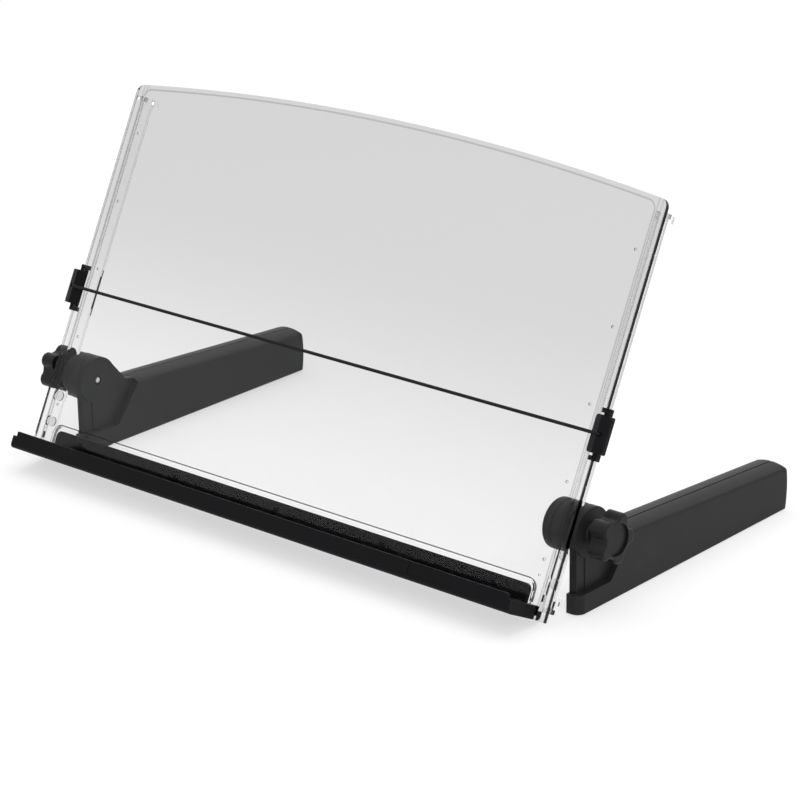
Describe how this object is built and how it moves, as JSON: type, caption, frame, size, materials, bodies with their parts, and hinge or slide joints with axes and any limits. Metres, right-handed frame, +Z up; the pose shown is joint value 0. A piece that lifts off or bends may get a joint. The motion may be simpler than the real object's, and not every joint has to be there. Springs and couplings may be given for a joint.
{
  "type": "copy holder with line guide",
  "caption": "Leaning clear plate on wedge-shaped desk arms, with a dark ledge, a sliding elastic reading line and lobed clamp knobs on its pivot.",
  "frame": {"origin": "on the desk, midway between the two arms and straight below the pivot axis of the platform", "axes": "+X to the reader's right along the pivot axis, +Y away from the reader along the arms, +Z up"},
  "size_m": [0.4982, 0.2768, 0.2554],
  "materials": {
    "clear_plastic": "clear moulded plastic, glossy",
    "black_plastic": "black moulded plastic, fine satin",
    "charcoal_plastic": "charcoal moulded plastic, matt",
    "steel": "zinc-plated steel",
    "brass": "turned brass",
    "rubber": "black rubber",
    "grip": "dark grey soft strip",
    "elastic": "black braided elastic line",
    "nylon": "dark nylon"
  },
  "bodies": {
    "arms": {"arm_shell_left": "charcoal_plastic", "arm_cover_left": "charcoal_plastic", "arm_screws_left": "steel", "arm_feet_left": "rubber", "arm_shell_right": "charcoal_plastic", "arm_cover_right": "charcoal_plastic", "arm_screws_right": "steel", "arm_feet_right": "rubber"},
    "clamps": {"clamp_barrel_left": "charcoal_plastic", "grip_pad_left": "rubber", "clamp_jaw_left": "charcoal_plastic", "pivot_bolt_left": "steel", "hub_washer_left": "nylon", "clamp_barrel_right": "charcoal_plastic", "grip_pad_right": "rubber", "end_cap_right": "charcoal_plastic", "pivot_bolt_right": "steel", "hub_washer_right": "nylon"},
    "platform": {"platform": "clear_plastic", "platform_rail_left": "clear_plastic", "platform_rail_right": "clear_plastic", "rail_ends_left": "clear_plastic", "rail_ends_right": "clear_plastic", "ledge": "black_plastic", "ledge_grip_strip": "grip", "ledge_rivets": "black_plastic"},
    "line_guide_left": {"guide_clip_left": "black_plastic", "guide_line": "elastic", "guide_knot_left": "elastic"},
    "line_guide_right": {"guide_clip_right": "black_plastic", "guide_knot_right": "elastic"},
    "knob_left": {"knob_left": "black_plastic", "knob_insert_left": "brass"},
    "knob_right": {"knob_right": "black_plastic", "knob_insert_right": "brass"}
  },
  "joints": [
    {"name": "platform_tilt", "type": "hinge", "parent": "arms", "child": "clamps", "pos_m": [0, 0, 0.05], "axis": [1, 0, 0], "range_deg": [-48, 12]},
    {"name": "platform_slide", "type": "slide", "parent": "clamps", "child": "platform", "axis": [0, 0.454, 0.891], "range_m": [-0.178, 0.0285]},
    {"name": "line_guide_slide_left", "type": "slide", "parent": "platform", "child": "line_guide_left", "axis": [0, 0.454, 0.891], "range_m": [-0.0933, 0.1207]},
    {"name": "line_guide_slide_right", "type": "slide", "parent": "platform", "child": "line_guide_right", "axis": [0, 0.454, 0.891], "range_m": [-0.0933, 0.1207]},
    {"name": "knob_turn_left", "type": "hinge", "parent": "clamps", "child": "knob_left", "pos_m": [-0.24, 0, 0.05], "axis": [-1, 0, 0], "continuous": true},
    {"name": "knob_turn_right", "type": "hinge", "parent": "clamps", "child": "knob_right", "pos_m": [0.24, 0, 0.05], "axis": [1, 0, 0], "continuous": true}
  ],
  "couplings": [
    {"joint": "line_guide_slide_right", "follows": "line_guide_slide_left", "ratio": 1}
  ]
}
